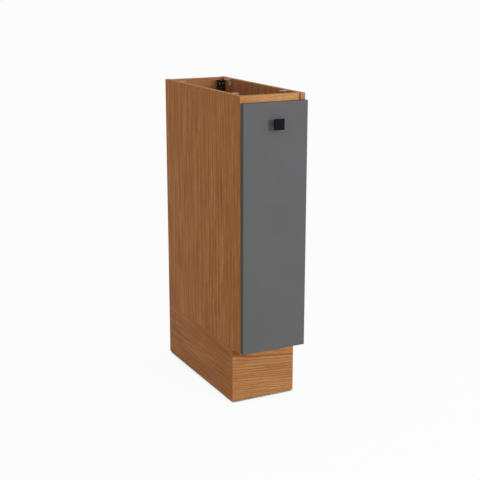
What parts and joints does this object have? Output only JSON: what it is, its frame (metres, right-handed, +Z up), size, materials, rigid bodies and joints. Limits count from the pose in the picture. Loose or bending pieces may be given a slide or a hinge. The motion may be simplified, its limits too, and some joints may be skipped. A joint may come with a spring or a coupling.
{
  "type": "pull-out spice base cabinet",
  "caption": "Narrow floor-standing kitchen base unit whose full-height front pulls out on telescopic slides with a tall open spice rack behind it.",
  "frame": {"origin": "on the floor, under the middle of the whole unit's box, door front and knob included", "axes": "+Z up, +X across the width to the right seen from the front, +Y from the front to the wall"},
  "size_m": [0.2, 0.549, 0.892],
  "materials": {
    "oak_laminate": "wood-print laminate, fine vertical or lengthwise grain, satin",
    "hardboard": "thin hardboard, smooth printed face",
    "grey_front": "graphite grey laminate, satin",
    "black_knob": "satin black cast zinc",
    "black_plastic": "moulded black plastic",
    "beige_plastic": "moulded tan plastic",
    "zinc_steel": "zinc-plated rolled steel",
    "yellow_zinc": "yellow-passivated zinc plate on screws",
    "chromed_bar": "chromed steel bar",
    "beech_dowel": "fluted beech",
    "soft_bumper": "clear soft bumper"
  },
  "bodies": {
    "carcass": {"side_panel_left": "oak_laminate", "side_panel_right": "oak_laminate", "bottom_panel": "oak_laminate", "front_top_rail": "oak_laminate", "back_top_rail": "oak_laminate", "plinth_front": "oak_laminate", "plinth_back": "oak_laminate", "plinth_side_left": "oak_laminate", "plinth_side_right": "oak_laminate", "back_panel": "hardboard", "floor_glides": "black_plastic", "hanger_housing_left": "black_plastic", "hanger_housing_right": "black_plastic", "slide_buffer_left": "black_plastic", "slide_buffer_right": "black_plastic", "worktop_bracket_front_left": "beige_plastic", "worktop_bracket_front_right": "beige_plastic", "worktop_bracket_rear_left": "beige_plastic", "worktop_bracket_rear_right": "beige_plastic", "plinth_brackets": "beige_plastic", "wood_screws": "yellow_zinc", "cabinet_slide_screws": "yellow_zinc", "cam_locks": "zinc_steel", "cam_bolts": "zinc_steel", "hanger_clamp_screws": "zinc_steel", "slide_outer_left": "zinc_steel", "slide_outer_right": "zinc_steel", "wooden_dowels": "beech_dowel"},
    "slide_middles": {"slide_middle_left": "zinc_steel", "slide_middle_right": "zinc_steel"},
    "outer_ball_cages": {"outer_ball_cage_left": "zinc_steel", "outer_ball_cage_right": "zinc_steel"},
    "inner_ball_cages": {"inner_ball_cage_left": "zinc_steel", "inner_ball_cage_right": "zinc_steel"},
    "pull_out": {"door_front": "grey_front", "knob": "black_knob", "knob_screw": "zinc_steel", "door_bumpers": "soft_bumper", "door_screws": "yellow_zinc", "rack_screws": "yellow_zinc", "rack_slide_screws": "yellow_zinc", "rack_front_board": "oak_laminate", "rack_rear_board": "oak_laminate", "rack_side_left": "oak_laminate", "rack_side_right": "oak_laminate", "bottom_shelf": "oak_laminate", "middle_shelf": "oak_laminate", "top_shelf": "oak_laminate", "middle_guard_bars_left": "chromed_bar", "middle_guard_bars_right": "chromed_bar", "top_guard_bars_left": "chromed_bar", "top_guard_bars_right": "chromed_bar", "slide_inner_left": "zinc_steel", "slide_inner_right": "zinc_steel"},
    "release_lever_left": {"release_lever_left": "black_plastic"},
    "hanger_hook_left": {"hanger_hook_left": "zinc_steel"},
    "hanger_height_screw_left": {"hanger_height_screw_left": "zinc_steel"},
    "release_lever_right": {"release_lever_right": "black_plastic"},
    "hanger_hook_right": {"hanger_hook_right": "zinc_steel"},
    "hanger_height_screw_right": {"hanger_height_screw_right": "zinc_steel"}
  },
  "joints": [
    {"name": "pull_out_slide", "type": "slide", "parent": "carcass", "child": "pull_out", "axis": [0, -1, 0], "range_m": [0, 0.43]},
    {"name": "middle_slide", "type": "slide", "parent": "carcass", "child": "slide_middles", "axis": [0, -1, 0], "range_m": [0, 0.215]},
    {"name": "outer_cage_roll", "type": "slide", "parent": "carcass", "child": "outer_ball_cages", "axis": [0, -1, 0], "range_m": [0, 0.1075]},
    {"name": "inner_cage_roll", "type": "slide", "parent": "carcass", "child": "inner_ball_cages", "axis": [0, -1, 0], "range_m": [0, 0.3225]},
    {"name": "release_lever_left_pivot", "type": "hinge", "parent": "pull_out", "child": "release_lever_left", "pos_m": [-0.075, -0.081, 0.244], "axis": [1, 0, 0], "range_deg": [0, 8], "stiffness_Nm_per_rad": 0.05},
    {"name": "release_lever_right_pivot", "type": "hinge", "parent": "pull_out", "child": "release_lever_right", "pos_m": [0.075, -0.081, 0.244], "axis": [1, 0, 0], "range_deg": [0, 8], "stiffness_Nm_per_rad": 0.05},
    {"name": "hanger_height_screw_left_turn", "type": "hinge", "parent": "carcass", "child": "hanger_height_screw_left", "pos_m": [-0.0675, 0.2385, 0.874], "axis": [0, 1, 0], "range_deg": [-1080, 1080]},
    {"name": "hanger_height_screw_right_turn", "type": "hinge", "parent": "carcass", "child": "hanger_height_screw_right", "pos_m": [0.0675, 0.2385, 0.874], "axis": [0, 1, 0], "range_deg": [-1080, 1080]},
    {"name": "hanger_hook_left_height", "type": "slide", "parent": "carcass", "child": "hanger_hook_left", "axis": [0, 0, 1], "range_m": [-0.003, 0.003]},
    {"name": "hanger_hook_right_height", "type": "slide", "parent": "carcass", "child": "hanger_hook_right", "axis": [0, 0, 1], "range_m": [-0.003, 0.003]}
  ],
  "couplings": [
    {"joint": "middle_slide", "follows": "pull_out_slide", "ratio": 0.5},
    {"joint": "outer_cage_roll", "follows": "pull_out_slide", "ratio": 0.25},
    {"joint": "inner_cage_roll", "follows": "pull_out_slide", "ratio": 0.75},
    {"joint": "hanger_height_screw_left_turn", "follows": "hanger_hook_left_height", "rad_per_m": 6283.2},
    {"joint": "hanger_height_screw_right_turn", "follows": "hanger_hook_right_height", "rad_per_m": 6283.2}
  ]
}
